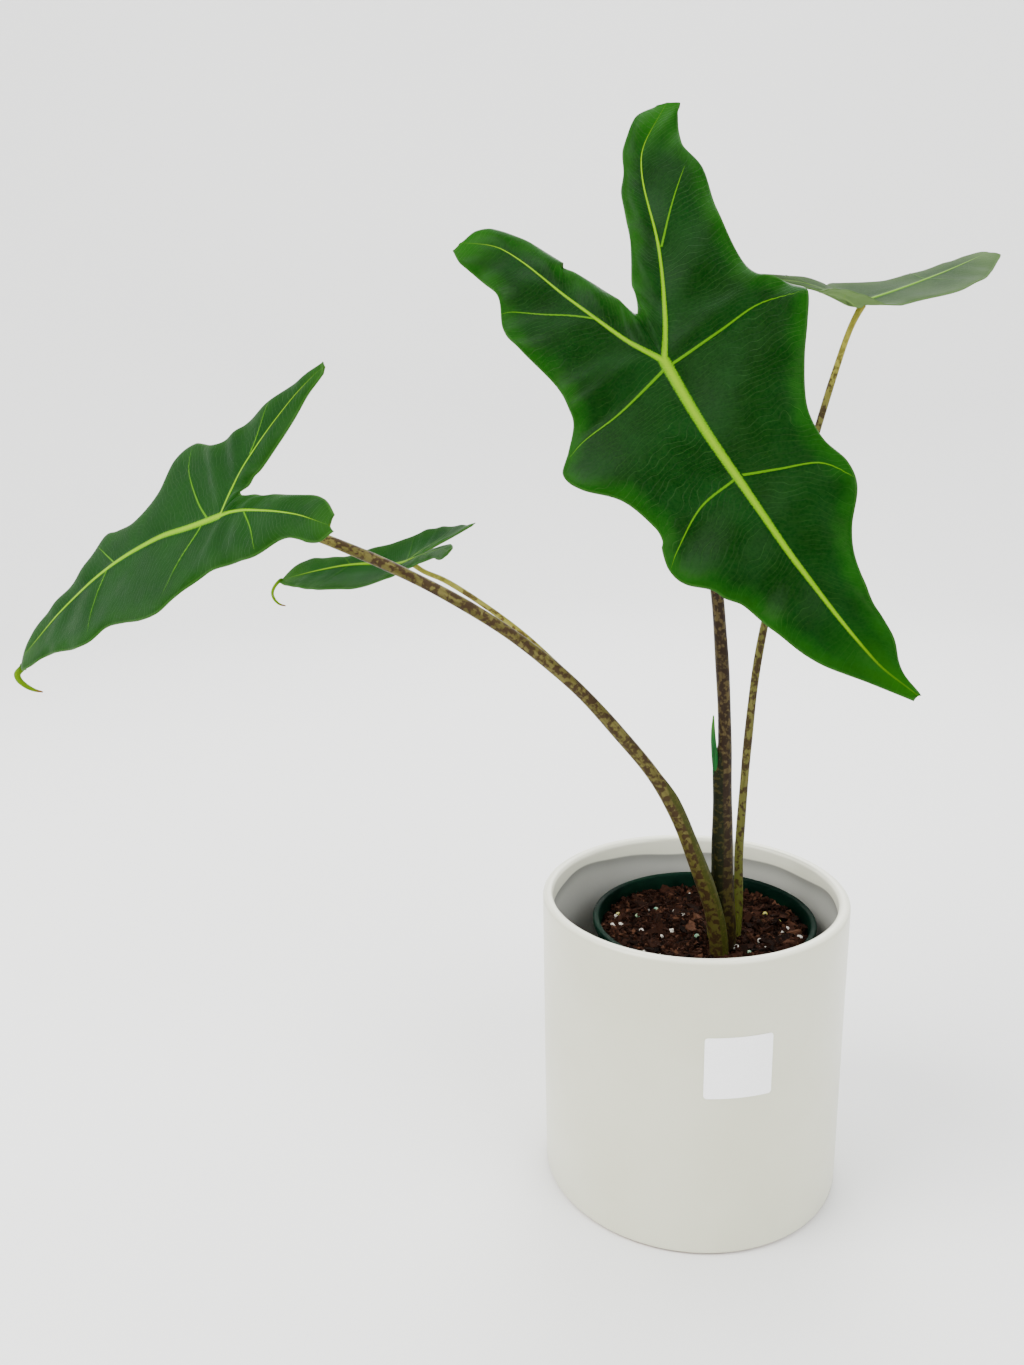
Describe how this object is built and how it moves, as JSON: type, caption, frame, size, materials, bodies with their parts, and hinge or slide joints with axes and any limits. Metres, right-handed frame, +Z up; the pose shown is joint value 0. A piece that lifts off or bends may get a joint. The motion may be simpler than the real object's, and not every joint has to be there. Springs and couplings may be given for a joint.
{
  "type": "potted sarian alocasia",
  "caption": "Aroid house plant: arrow-shaped, wavy-edged leaves with bright veins on long mottled stalks, in a thin nursery pot inside a plain round glazed cachepot.",
  "frame": {"origin": "centre of the cachepot's flat underside", "axes": "+Z up, out of the pot; +Y away from the viewer of the picture; +X to the viewer's right"},
  "size_m": [0.4958, 0.215, 0.5176],
  "materials": {
    "glaze": "satin off-white glaze, bare clay at the foot",
    "label_paper": "blank white sticker",
    "nursery_plastic": "thin dark green thermoformed plastic",
    "bark_soil": "bark and coir with white perlite",
    "rhizome_skin": "rough brown skin",
    "stalk_dark": "satin, brown bars and mottles over olive",
    "stalk_olive": "satin, few brown marks over yellow-olive",
    "leaf_dark": "glossy dark green with yellow-green veins",
    "leaf_mid": "semi-gloss mid green with yellow-green veins",
    "leaf_grey": "semi-gloss grey-green with pale veins"
  },
  "bodies": {
    "root": {"cachepot": "glaze", "label": "label_paper", "nursery_pot": "nursery_plastic", "soil": "bark_soil", "rhizome": "rhizome_skin", "petiole_front": "stalk_dark", "blade_front": "leaf_dark", "petiole_left": "stalk_dark", "blade_left": "leaf_mid", "petiole_back_left": "stalk_olive", "blade_back_left": "leaf_mid", "petiole_right": "stalk_olive", "blade_right": "leaf_grey", "new_leaf": "leaf_mid"}
  },
  "joints": []
}
